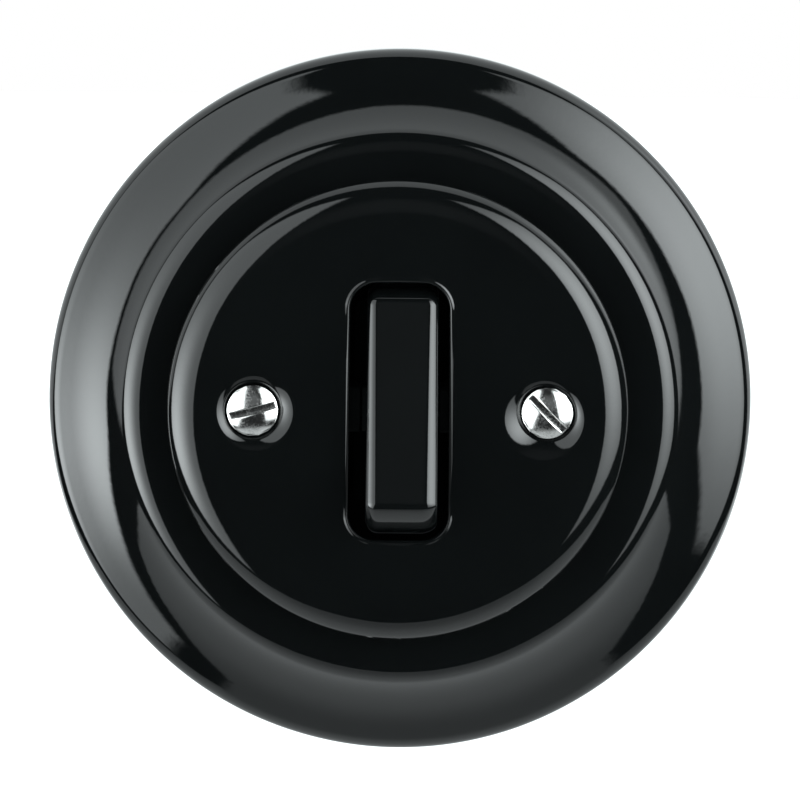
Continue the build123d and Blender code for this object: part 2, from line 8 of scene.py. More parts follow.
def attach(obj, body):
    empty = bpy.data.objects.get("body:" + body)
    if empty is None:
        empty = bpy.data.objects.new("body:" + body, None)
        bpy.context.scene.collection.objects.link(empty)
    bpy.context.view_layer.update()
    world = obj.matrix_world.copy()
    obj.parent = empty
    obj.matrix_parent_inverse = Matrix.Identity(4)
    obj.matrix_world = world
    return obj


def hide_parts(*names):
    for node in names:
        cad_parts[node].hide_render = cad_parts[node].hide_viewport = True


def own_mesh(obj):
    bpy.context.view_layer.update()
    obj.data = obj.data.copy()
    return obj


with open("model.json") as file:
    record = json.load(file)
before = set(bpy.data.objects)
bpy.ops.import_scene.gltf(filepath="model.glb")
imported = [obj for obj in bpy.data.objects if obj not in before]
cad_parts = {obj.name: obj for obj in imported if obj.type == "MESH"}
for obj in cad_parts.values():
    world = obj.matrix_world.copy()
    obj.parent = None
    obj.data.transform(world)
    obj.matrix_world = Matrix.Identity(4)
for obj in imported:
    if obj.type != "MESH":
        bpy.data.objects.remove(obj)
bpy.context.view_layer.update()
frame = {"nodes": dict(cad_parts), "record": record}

# The frame is in metres and sizes below are in millimetres and degrees, unless they say otherwise.
# The wall is the plane Y = 0, the front faces -Y and +Z is up. A height is a distance towards -Y.

RECORD = frame["record"]
SLOT_OF = {row["node"]: row["material_slot"] for row in RECORD["subparts"]}
BODY_OF = {node: body for body, nodes in RECORD["behaviour"]["bodies"].items() for node in nodes}


# Node trees

def place(tree, kind, inputs=None, **settings):
    """Adds a node to a tree. Inputs are given by name or number, as values or as output sockets."""
    node = tree.nodes.new(kind)
    for name, value in settings.items():
        setattr(node, name, value)
    for key, value in (inputs or {}).items():
        if isinstance(value, bpy.types.NodeSocket):
            tree.links.new(value, node.inputs[key])
        else:
            node.inputs[key].default_value = value
    return node


def calc(tree, operation, a, b=0.0):
    """The output of a Math node."""
    return place(tree, "ShaderNodeMath", {0: a, 1: b}, operation=operation).outputs[0]


def dot(tree, a, b):
    """The output of a dot product of two vectors."""
    return place(tree, "ShaderNodeVectorMath", {0: a, 1: b}, operation="DOT_PRODUCT").outputs["Value"]


def ramp(tree, value, low, high, to_low=0.0, to_high=1.0):
    """The output of a smooth Map Range node."""
    node = place(
        tree,
        "ShaderNodeMapRange",
        {"Value": value, "From Min": low, "From Max": high, "To Min": to_low, "To Max": to_high},
        interpolation_type="SMOOTHSTEP",
    )
    return node.outputs["Result"]


def blend_colour(tree, mask, first, second):
    """The output of a Mix node between two colours."""
    return place(tree, "ShaderNodeMix", {0: mask, 6: first, 7: second}, data_type="RGBA").outputs[2]


def colour(red, green, blue):
    return (red, green, blue, 1.0)


def new_material(name):
    """An empty material with its Principled shader, and the Object coordinates it reads."""
    material = bpy.data.materials.new(name)
    material.use_nodes = True
    tree = material.node_tree
    tree.nodes.clear()
    shader = place(tree, "ShaderNodeBsdfPrincipled")
    place(tree, "ShaderNodeOutputMaterial", {"Surface": shader.outputs[0]})
    coords = place(tree, "ShaderNodeTexCoord").outputs["Object"]
    return material, tree, shader, coords


def noise(tree, coords, scale, detail=2.0, roughness=0.5):
    return place(
        tree,
        "ShaderNodeTexNoise",
        {"Vector": coords, "Scale": scale, "Detail": detail, "Roughness": roughness},
    ).outputs["Fac"]


def link(tree, value, shader, socket):
    tree.links.new(value, shader.inputs[socket])


def bump(tree, shader, height, strength, distance):
    node = place(tree, "ShaderNodeBump", {"Height": height, "Strength": strength, "Distance": distance})
    link(tree, node.outputs["Normal"], shader, "Normal")


# Materials

def value_group(name, inputs, outputs):
    """An empty shader node group with named inputs and outputs."""
    tree = bpy.data.node_groups.new(name, "ShaderNodeTree")
    for socket, kind in inputs.items():
        tree.interface.new_socket(socket, in_out="INPUT", socket_type="NodeSocket" + kind)
    for socket in outputs:
        tree.interface.new_socket(socket, in_out="OUTPUT", socket_type="NodeSocketFloat")
    return tree, place(tree, "NodeGroupInput").outputs


def drawn_marks_group():
    """Fine marks that run one way over worked metal, with a slow change of tone."""
    tree, given = value_group(
        "drawn_marks", {"Coords": "Vector", "Grain": "Float", "Stretch": "Vector"}, ("Tone", "Height")
    )
    pulled = place(
        tree, "ShaderNodeVectorMath", {0: given["Coords"], 1: given["Stretch"]}, operation="MULTIPLY"
    ).outputs[0]
    marks = noise(tree, pulled, given["Grain"], 5.0, 0.65)
    slow = noise(tree, given["Coords"], calc(tree, "MULTIPLY", given["Grain"], 0.12), 3.0, 0.55)
    tone = calc(tree, "ADD", calc(tree, "MULTIPLY", marks, 0.55), calc(tree, "MULTIPLY", slow, 0.45))
    place(tree, "NodeGroupOutput", {"Tone": ramp(tree, tone, 0.3, 0.7), "Height": marks})
    return tree


def moulded_skin_group():
    """The fine grain and faint clouding of a moulded surface."""
    tree, given = value_group("moulded_skin", {"Coords": "Vector", "Grain": "Float"}, ("Tone", "Height"))
    grain = noise(tree, given["Coords"], given["Grain"], 3.0, 0.6)
    cloud = noise(tree, given["Coords"], calc(tree, "MULTIPLY", given["Grain"], 0.04), 4.0, 0.6)
    tone = calc(tree, "ADD", calc(tree, "MULTIPLY", grain, 0.35), calc(tree, "MULTIPLY", cloud, 0.65))
    place(tree, "NodeGroupOutput", {"Tone": ramp(tree, tone, 0.3, 0.7), "Height": grain})
    return tree


DRAWN_MARKS = drawn_marks_group()
MOULDED_SKIN = moulded_skin_group()


def black_glaze():
    """Thick black glaze with a slow ripple; the foot that stands in the kiln stays bare."""
    material, tree, shader, coords = new_material("black_glaze")
    cloud = ramp(tree, noise(tree, coords, 70.0, 3.0), 0.3, 0.7)
    glaze = blend_colour(tree, cloud, colour(0.0018, 0.0022, 0.0023), colour(0.0021, 0.0026, 0.0027))
    grit = ramp(tree, noise(tree, coords, 1800.0, 4.0, 0.7), 0.35, 0.7)
    biscuit = blend_colour(tree, grit, colour(0.33, 0.30, 0.26), colour(0.48, 0.45, 0.40))
    depth = place(tree, "ShaderNodeSeparateXYZ", {0: coords}).outputs["Y"]
    ragged = calc(tree, "ADD", depth, calc(tree, "MULTIPLY", noise(tree, coords, 260.0, 3.0), 0.0003))
    bare = ramp(tree, ragged, -0.00022, -0.00012)
    link(tree, blend_colour(tree, bare, glaze, biscuit), shader, "Base Color")
    dust = ramp(tree, noise(tree, coords, 900.0, 4.0, 0.7), 0.45, 0.75, 0.035, 0.06)
    link(tree, ramp(tree, bare, 0.0, 1.0, dust, 0.85), shader, "Roughness")
    shader.inputs["IOR"].default_value = 1.5
    peel = calc(tree, "MULTIPLY", noise(tree, coords, 1000.0, 3.0), 0.25)
    gritty = calc(tree, "MULTIPLY", grit, calc(tree, "MULTIPLY", bare, 0.5))
    ripple = calc(tree, "ADD", noise(tree, coords, 140.0, 1.0), calc(tree, "ADD", peel, gritty))
    bump(tree, shader, ripple, 0.2, 0.0001)
    return material


def worked_metal(name, dull, bright, smooth, rough, grain, depth, stretch=(1.0, 1.0, 1.0)):
    """Plated, drawn or turned metal with fine marks along one way."""
    material, tree, shader, coords = new_material(name)
    marks = place(tree, "ShaderNodeGroup", node_tree=DRAWN_MARKS)
    tree.links.new(coords, marks.inputs["Coords"])
    marks.inputs["Grain"].default_value = grain
    marks.inputs["Stretch"].default_value = stretch
    tone = marks.outputs["Tone"]
    link(tree, blend_colour(tree, tone, colour(*dull), colour(*bright)), shader, "Base Color")
    link(tree, ramp(tree, tone, 0.0, 1.0, rough, smooth), shader, "Roughness")
    shader.inputs["Metallic"].default_value = 1.0
    bump(tree, shader, marks.outputs["Height"], 0.3, depth)
    return material


def moulded(name, low, high, smooth, rough, grain, depth, shine=0.5):
    """Moulded insulating material with a fine grain."""
    material, tree, shader, coords = new_material(name)
    skin_node = place(tree, "ShaderNodeGroup", node_tree=MOULDED_SKIN)
    tree.links.new(coords, skin_node.inputs["Coords"])
    skin_node.inputs["Grain"].default_value = grain
    tone = skin_node.outputs["Tone"]
    link(tree, blend_colour(tree, tone, colour(*low), colour(*high)), shader, "Base Color")
    link(tree, ramp(tree, tone, 0.0, 1.0, smooth, rough), shader, "Roughness")
    shader.inputs["IOR"].default_value = 1.5
    shader.inputs["Specular IOR Level"].default_value = shine
    bump(tree, shader, skin_node.outputs["Height"], 0.35, depth)
    return material


FINISHES = {
    "black_porcelain": black_glaze(),
    "plated_screw": worked_metal(
        "bright_plating", dull=(0.70, 0.70, 0.69), bright=(0.84, 0.84, 0.83),
        smooth=0.08, rough=0.32, grain=3600.0, depth=0.00002,
    ),
    "fibre_washer": moulded(
        "fibre_washer", low=(0.035, 0.032, 0.030), high=(0.06, 0.055, 0.05),
        smooth=0.7, rough=0.9, grain=2500.0, depth=0.00005,
    ),
    "brass_part": worked_metal(
        "machined_brass", dull=(0.50, 0.33, 0.13), bright=(0.78, 0.58, 0.28),
        smooth=0.22, rough=0.40, grain=1500.0, depth=0.00003, stretch=(1.0, 0.15, 1.0),
    ),
    "zinc_steel": worked_metal(
        "zinc_plated_steel", dull=(0.38, 0.39, 0.40), bright=(0.47, 0.48, 0.49),
        smooth=0.30, rough=0.42, grain=1100.0, depth=0.00002, stretch=(0.12, 1.0, 1.0),
    ),
    "ivory_moulding": moulded(
        "ivory_moulding", low=(0.45, 0.40, 0.31), high=(0.55, 0.50, 0.40),
        smooth=0.32, rough=0.48, grain=3000.0, depth=0.00003,
    ),
    "dark_moulding": moulded(
        "dark_moulding", low=(0.0024, 0.0036, 0.0039), high=(0.0040, 0.0056, 0.0060),
        smooth=0.6, rough=0.8, grain=3000.0, depth=0.00003, shine=0.1,
    ),
    "natural_moulding": moulded(
        "natural_moulding", low=(0.66, 0.63, 0.55), high=(0.76, 0.74, 0.67),
        smooth=0.35, rough=0.5, grain=2500.0, depth=0.00002,
    ),
    "spring_steel": worked_metal(
        "spring_steel", dull=(0.36, 0.36, 0.37), bright=(0.55, 0.55, 0.56),
        smooth=0.2, rough=0.35, grain=2500.0, depth=0.00001,
    ),
    "silver_contact": worked_metal(
        "silver_contact", dull=(0.70, 0.68, 0.64), bright=(0.88, 0.87, 0.84),
        smooth=0.15, rough=0.3, grain=1600.0, depth=0.00002,
    ),
}

GLAZE = FINISHES["black_porcelain"]

# Painted shade: the pin shows in the gaps beside the key, so its steel is coloured nearly black, like the
# shade there.
PIN_STEEL_PAINTED_SHADE = worked_metal(
    "pin_steel_painted_shade", dull=(0.010, 0.011, 0.012), bright=(0.020, 0.021, 0.022),
    smooth=0.4, rough=0.6, grain=1100.0, depth=0.00002, stretch=(0.12, 1.0, 1.0),
)
for node, slot in SLOT_OF.items():
    materials = frame["nodes"][node].data.materials
    materials.clear()
    # The pivot pin takes the steel that is coloured nearly black as painted shade.
    materials.append(PIN_STEEL_PAINTED_SHADE if node == "pivot_pin" else FINISHES[slot])


# Meshes of the pieces

MM = 0.001


def rounded_outline(corners, closed=False, arc_step=radians(4)):
    """Points along a polyline whose corners (across, up, radius) are rounded to their radius."""
    points = []
    last = len(corners) - 1
    for i, (x, y, radius) in enumerate(corners):
        here = Vector((x, y))
        if radius == 0 or (not closed and i in (0, last)):
            points.append(here)
            continue
        before = (Vector(corners[i - 1][:2]) - here).normalized()
        after = (Vector(corners[(i + 1) % len(corners)][:2]) - here).normalized()
        half_angle = before.angle(after) / 2
        centre = here + (before + after).normalized() * (radius / sin(half_angle))
        start = here + before * (radius / tan(half_angle)) - centre
        end = here + after * (radius / tan(half_angle)) - centre
        turn = atan2(start.cross(end), start.dot(end))
        steps = max(3, ceil(abs(turn) / arc_step))
        for k in range(steps + 1):
            points.append(centre + Matrix.Rotation(turn * k / steps, 2) @ start)
    return points


def new_object(name, mesh):
    piece = bpy.data.objects.new(name, mesh)
    bpy.context.collection.objects.link(piece)
    return piece


def mesh_of(bm, name):
    """A plain mesh from a bmesh, with doubles merged and all faces turned the same way."""
    bmesh.ops.remove_doubles(bm, verts=bm.verts, dist=1e-7)
    bmesh.ops.recalc_face_normals(bm, faces=bm.faces)
    mesh = bpy.data.meshes.new(name)
    bm.to_mesh(mesh)
    bm.free()
    return mesh


def skin(bm, loops):
    """Quads between closed loops of the same number of points."""
    rings = [[bm.verts.new(point) for point in loop] for loop in loops]
    for ring, following in zip(rings, rings[1:]):
        for i in range(len(ring)):
            j = (i + 1) % len(ring)
            bm.faces.new((ring[i], ring[j], following[j], following[i]))
    return rings


def circle_loop(x, radius, height, count):
    turns = [2 * pi * i / count for i in range(count)]
    return [Vector((x + radius * cos(t), -height, radius * sin(t))) * MM for t in turns]


def slot_loop(x, half_width, half_length, corner, height, corner_steps=10, side_steps=8):
    """A rounded rectangle parallel to the wall, with the same number of points for any size."""
    points = []
    for sx, sz, start in ((1, 1, 0), (-1, 1, 90), (-1, -1, 180), (1, -1, 270)):
        centre = Vector((sx * (half_width - corner), sz * (half_length - corner)))
        for k in range(corner_steps + 1):
            t = radians(start + 90 * k / corner_steps)
            points.append(centre + corner * Vector((cos(t), sin(t))))
    full = []
    for i, point in enumerate(points):
        following = points[(i + 1) % len(points)]
        steps = side_steps if i % (corner_steps + 1) == corner_steps else 1
        full += [point.lerp(following, k / steps) for k in range(steps)]
    return [Vector((x + p.x, -height, p.y)) * MM for p in full]


def flat_between(bm, rings):
    """Fills the flat that is bounded by several closed rings of vertices."""
    edges = []
    for ring in rings:
        for i in range(len(ring)):
            edges.append(bm.edges.get((ring[i], ring[(i + 1) % len(ring)])))
    bmesh.ops.triangle_fill(bm, use_beauty=True, use_dissolve=False, edges=edges)


# Geometry Nodes

def new_tree(name, inputs):
    """A Geometry Nodes tree with named inputs, and its group input's sockets."""
    tree = bpy.data.node_groups.new(name, "GeometryNodeTree")
    tree.interface.new_socket("Geometry", in_out="INPUT", socket_type="NodeSocketGeometry")
    for socket, kind in inputs.items():
        tree.interface.new_socket(socket, in_out="INPUT", socket_type="NodeSocket" + kind)
    tree.interface.new_socket("Geometry", in_out="OUTPUT", socket_type="NodeSocketGeometry")
    return tree, place(tree, "NodeGroupInput").outputs


def close_tree(tree, geometry, material):
    """Ends a tree with smooth shading, real geometry and a material."""
    smooth = place(tree, "GeometryNodeSetShadeSmooth", {"Geometry": geometry})
    real = place(tree, "GeometryNodeRealizeInstances", {"Geometry": smooth.outputs[0]})
    painted = place(tree, "GeometryNodeSetMaterial", {"Geometry": real.outputs[0], "Material": material})
    place(tree, "NodeGroupOutput", {"Geometry": painted.outputs[0]})


def grown(mesh, tree, **values):
    """The plain mesh that a tree makes from a mesh, with the tree's inputs set by name."""
    carrier = new_object("carrier", mesh)
    modifier = carrier.modifiers.new(tree.name, "NODES")
    modifier.node_group = tree
    names = {name.replace("_", " ").lower(): value for name, value in values.items()}
    for item in tree.interface.items_tree:
        if item.item_type == "SOCKET" and item.in_out == "INPUT" and item.name.lower() in names:
            modifier[item.identifier] = names[item.name.lower()]
    result = bpy.data.meshes.new_from_object(carrier.evaluated_get(bpy.context.evaluated_depsgraph_get()))
    carrier.modifiers.clear()
    bpy.data.objects.remove(carrier)
    return result


def turned_ring_tree():
    """Turns a profile (radius, height) once round the axis out of the wall."""
    tree, given = new_tree("turned_ring", {"Around": "Int", "Finish": "Material"})
    rows = place(tree, "GeometryNodeAttributeDomainSize", {0: given["Geometry"]}, component="MESH")
    columns = calc(tree, "ADD", given["Around"], 1.0)
    grid = place(
        tree, "GeometryNodeMeshGrid", {"Vertices X": rows.outputs["Point Count"], "Vertices Y": columns}
    )
    index = place(tree, "GeometryNodeInputIndex").outputs[0]
    row = calc(tree, "FLOOR", calc(tree, "DIVIDE", calc(tree, "ADD", index, 0.5), columns))
    column = calc(tree, "SUBTRACT", index, calc(tree, "MULTIPLY", row, columns))
    spot = place(tree, "GeometryNodeInputPosition").outputs[0]
    sample = place(
        tree,
        "GeometryNodeSampleIndex",
        {"Geometry": given["Geometry"], "Value": spot, "Index": row},
        data_type="FLOAT_VECTOR",
        domain="POINT",
    )
    profile = place(tree, "ShaderNodeSeparateXYZ", {0: sample.outputs[0]}).outputs
    turn = calc(tree, "MULTIPLY", calc(tree, "DIVIDE", column, given["Around"]), 2 * pi)
    across = calc(tree, "MULTIPLY", profile["X"], calc(tree, "COSINE", turn))
    upward = calc(tree, "MULTIPLY", profile["X"], calc(tree, "SINE", turn))
    out = calc(tree, "MULTIPLY", profile["Y"], -1.0)
    place_at = place(tree, "ShaderNodeCombineXYZ", {"X": across, "Y": out, "Z": upward}).outputs[0]
    lathe = place(tree, "GeometryNodeSetPosition", {"Geometry": grid.outputs["Mesh"], "Position": place_at})
    joined = place(tree, "GeometryNodeMergeByDistance", {"Geometry": lathe.outputs[0], "Distance": 1e-6})
    close_tree(tree, joined.outputs[0], given["Finish"])
    return tree


def kiln_waviness_tree():
    """Gives a fired piece the slight unevenness that the kiln leaves."""
    tree, given = new_tree(
        "kiln_waviness", {"Wave Height": "Float", "Wave Size": "Float", "Seed": "Float", "Finish": "Material"}
    )
    spot = place(tree, "GeometryNodeInputPosition").outputs[0]
    scale = calc(tree, "DIVIDE", 1.0, given["Wave Size"])
    waves = place(
        tree,
        "ShaderNodeTexNoise",
        {"Vector": spot, "W": given["Seed"], "Scale": scale, "Detail": 1.0},
        noise_dimensions="4D",
    ).outputs[0]
    depth = calc(tree, "MULTIPLY", calc(tree, "SUBTRACT", waves, 0.5), given["Wave Height"])
    normal = place(tree, "GeometryNodeInputNormal").outputs[0]
    offset = place(tree, "ShaderNodeVectorMath", {0: normal, "Scale": depth}, operation="SCALE").outputs[0]
    moved = place(tree, "GeometryNodeSetPosition", {"Geometry": given["Geometry"], "Offset": offset})
    close_tree(tree, moved.outputs[0], given["Finish"])
    return tree


def wound_wire_tree():
    """Winds a wire round the Z axis; closing brings the end turns together."""
    tree, given = new_tree(
        "wound_wire",
        {
            "Turns": "Float",
            "Coil Radius": "Float",
            "Coil Height": "Float",
            "Wire Radius": "Float",
            "Wire Sides": "Int",
            "Closing": "Float",
            "Finish": "Material",
        },
    )
    coil = place(
        tree,
        "GeometryNodeCurveSpiral",
        {
            "Resolution": 40,
            "Rotations": given["Turns"],
            "Start Radius": given["Coil Radius"],
            "End Radius": given["Coil Radius"],
            "Height": 0.0,
        },
    )
    along = place(tree, "GeometryNodeSplineParameter").outputs["Factor"]
    swing = calc(tree, "SINE", calc(tree, "MULTIPLY", along, 2 * pi))
    held = calc(tree, "MULTIPLY", calc(tree, "DIVIDE", swing, 2 * pi), given["Closing"])
    rise = calc(tree, "MULTIPLY", calc(tree, "SUBTRACT", along, held), given["Coil Height"])
    lift = place(tree, "ShaderNodeCombineXYZ", {"Z": rise}).outputs[0]
    raised = place(tree, "GeometryNodeSetPosition", {"Geometry": coil.outputs[0], "Offset": lift})
    section = place(
        tree,
        "GeometryNodeCurvePrimitiveCircle",
        {"Resolution": given["Wire Sides"], "Radius": given["Wire Radius"]},
    )
    wire = place(
        tree,
        "GeometryNodeCurveToMesh",
        {"Curve": raised.outputs[0], "Profile Curve": section.outputs[0], "Fill Caps": True},
    )
    close_tree(tree, wire.outputs[0], given["Finish"])
    return tree


def set_screws_tree():
    """Sets one screw on each point, turned about the axis out of the wall by the point's turn."""
    tree, given = new_tree("set_screws", {"Screw": "Object", "Finish": "Material"})
    screw = place(tree, "GeometryNodeObjectInfo", {"Object": given["Screw"]}, transform_space="ORIGINAL")
    turn = place(tree, "GeometryNodeInputNamedAttribute", {"Name": "turn"}, data_type="FLOAT").outputs[0]
    rotation = place(tree, "ShaderNodeCombineXYZ", {"Y": turn}).outputs[0]
    screws = place(
        tree,
        "GeometryNodeInstanceOnPoints",
        {"Points": given["Geometry"], "Instance": screw.outputs["Geometry"], "Rotation": rotation},
    )
    close_tree(tree, screws.outputs[0], given["Finish"])
    return tree


# Porcelain. A rounded edge is a list of arcs (end tilt, radius) from the face to the side.

FRAME_R, FRAME_HEIGHT = 50.0, 16.4
EDGE_WALL, EDGE_ROUND, FLANGE_SLOPE, FLANGE_RUN = 4.0, 3.4, 27.5, 1.7
CROWN_R, CROWN_ROUND = 35.85, 4.0
FRAME_BORE_R, HOLLOW_TOP, HOLLOW_R, FOOT_WALL = 29.7, 11.9, 44.5, 3.0
FOOT_SOFT, BORE_SOFT, HOLLOW_SOFT = 0.5, 0.4, 1.0
COVER_ASIDE, COVER_R, COVER_FACE, COVER_UNDER = -0.3, 32.2, 22.4, 18.9
SHOULDER_ROUND, SHOULDER_TURN, SHOULDER_SLACK = 5.8, 57.0, 0.1
SPIGOT_OUTER_R, SPIGOT_INNER_R, SPIGOT_END, SPIGOT_SOFT = 29.3, 26.1, 14.0, 0.4
EDGE_SOFT, HOLE_SOFT, BOSS_SOFT, SLOT_SOFT = 0.3, 0.2, 0.15, 0.25
SCREW_X = 20.55
DISH_R, DISH_LIP, DISH_LIP_TURN, DISH_BOWL, DISH_SLOPE, DISH_FLOOR = 5.95, 1.5, 18.0, 4.6, 41.0, 20.9
# Each dish: its screw's place, and how far its mouth leans aside, leans up and is wider
DISHES = [(-SCREW_X, 0.3, -0.05, -0.3), (SCREW_X, -0.5, -0.8, -0.04)]
COVER_HOLE_R, BOSS_R, BOSS_END = 2.4, 5.0, 15.9
SLOT_ASIDE, SLOT_W, SLOT_LENGTH, SLOT_CORNER, SLOT_DRAFT = -0.15, 13.74, 35.9, 3.6, 0.72
SLOT_EDGE = [(22.0, 1.5), (90.0, 0.62)]
# Bead of glaze round the slot's corners: it starts past these places and is full after these runs
BEAD_HEIGHT, BEAD_FROM, BEAD_RUN = 0.3, 0.85, 0.55
BEAD_ACROSS, BEAD_ACROSS_RUN, BEAD_ALONG, BEAD_ALONG_RUN = 1.5, 3.0, 10.5, 5.0
BEAD_DEPTH = 2.0
# How far the bands of shoulder, dishes and slot run on to the flats in front and behind
SHOULDER_ON_FACE, SHOULDER_ON_BACK = 0.08, 0.45
DISH_ON_FACE, DISH_ON_BACK = 0.05, 0.3
SLOT_ON_FACE, SLOT_ON_BACK = 0.2, 0.6
KEY_W, KEY_TOP, KEY_FLOOR, KEY_ASIDE = 10.0, 8.5, 1.6, 0.3
KEY_FLAT, KEY_END_EDGE, KEY_END_TURN, KEY_END_ROUND = 13.75, 1.65, 46.0, 9.5
KEY_LEFT_EDGE, KEY_RIGHT_EDGE = [(90.0, 1.6)], [(45.0, 2.45), (90.0, 0.8)]
KEY_LEFT_TAPER, KEY_RIGHT_TAPER = 0.1, 0.17
KEY_SOCKET_W, KEY_SOCKET_LENGTH, KEY_SOCKET_DEPTH = 6.0, 26.34, 3.95
PIVOT_HEIGHT, ROCKER_TILT = 17.0, 10.0
# Steps round and along the meshes
FRAME_STEPS, COVER_STEPS, DISH_STEPS, EDGE_STEPS = 300, 240, 96, 8
KEY_END_STEPS, KEY_TURN_STEPS, KEY_ALONG_STEPS, KEY_ACROSS_STEPS = 20, 10, 36, 10


def frame_profile():
    """The section of the frame: edge, flange, cove and crown in front, hollow behind."""
    slope = radians(FLANGE_SLOPE)
    edge_tangent = EDGE_ROUND * tan((pi / 2 - slope) / 2)
    flange_end = Vector((
        FRAME_R - EDGE_ROUND * (1 - sin(slope)) - FLANGE_RUN * cos(slope),
        EDGE_WALL + EDGE_ROUND * cos(slope) + FLANGE_RUN * sin(slope),
    ))
    to_flange = flange_end - Vector((CROWN_R, FRAME_HEIGHT - CROWN_ROUND))
    lean = to_flange.x * sin(slope) + to_flange.y * cos(slope)
    cove_r = (to_flange.length_squared - CROWN_ROUND**2) / (2 * (CROWN_ROUND - lean))
    steep = asin((to_flange.x + cove_r * sin(slope)) / (cove_r + CROWN_ROUND))
    cove_tangent = cove_r * tan((steep - slope) / 2)
    cove_corner = flange_end + cove_tangent * Vector((-cos(slope), sin(slope)))
    crown_corner = Vector((CROWN_R + CROWN_ROUND * tan(steep / 2), FRAME_HEIGHT))
    return rounded_outline(
        [
            (FRAME_R, 0, FOOT_SOFT),
            (FRAME_R, EDGE_WALL + edge_tangent, EDGE_ROUND),
            (cove_corner.x, cove_corner.y, cove_r),
            (crown_corner.x, crown_corner.y, CROWN_ROUND),
            (FRAME_BORE_R, FRAME_HEIGHT, BORE_SOFT),
            (FRAME_BORE_R, HOLLOW_TOP, BORE_SOFT),
            (CROWN_R, HOLLOW_TOP, HOLLOW_SOFT),
            (HOLLOW_R, FOOT_WALL, EDGE_SOFT),
            (HOLLOW_R, 0, FOOT_SOFT),
        ],
        closed=True,
        arc_step=radians(2.5),
    )


def frame_mesh():
    outline = [(p.x * MM, p.y * MM, 0) for p in frame_profile()]
    outline.append(outline[0])
    profile = bpy.data.meshes.new("frame_profile")
    profile.from_pydata(outline, [(i, i + 1) for i in range(len(outline) - 1)], [])
    return grown(profile, turned_ring_tree(), around=FRAME_STEPS, finish=GLAZE)


def rolled_edge(arcs):
    """Steps from a side in to the face (off the side, below the face); arcs as (end tilt, radius)."""
    steps = [(0.0, 0.0)]
    last = 0.0
    for reach, radius in arcs:
        for k in range(1, EDGE_STEPS + 1):
            middle = radians(last + (reach - last) * (k - 0.5) / EDGE_STEPS)
            length = radius * radians(reach - last) / EDGE_STEPS
            steps.append((steps[-1][0] + length * cos(middle), steps[-1][1] + length * sin(middle)))
        last = reach
    width = steps[-1][0]
    return [(width - x, inset) for x, inset in reversed(steps)]


def eased(share):
    """A share from 0 to 1 that starts and ends gently."""
    share = min(max(share, 0.0), 1.0)
    return share * share * (3 - 2 * share)


def corner_share(point):
    """How far a point round the slot belongs to one of its corners, where the glaze has gathered."""
    across, along = abs(point.x / MM - SLOT_ASIDE), abs(point.z / MM)
    return eased((across - BEAD_ACROSS) / BEAD_ACROSS_RUN) * eased((along - BEAD_ALONG) / BEAD_ALONG_RUN)


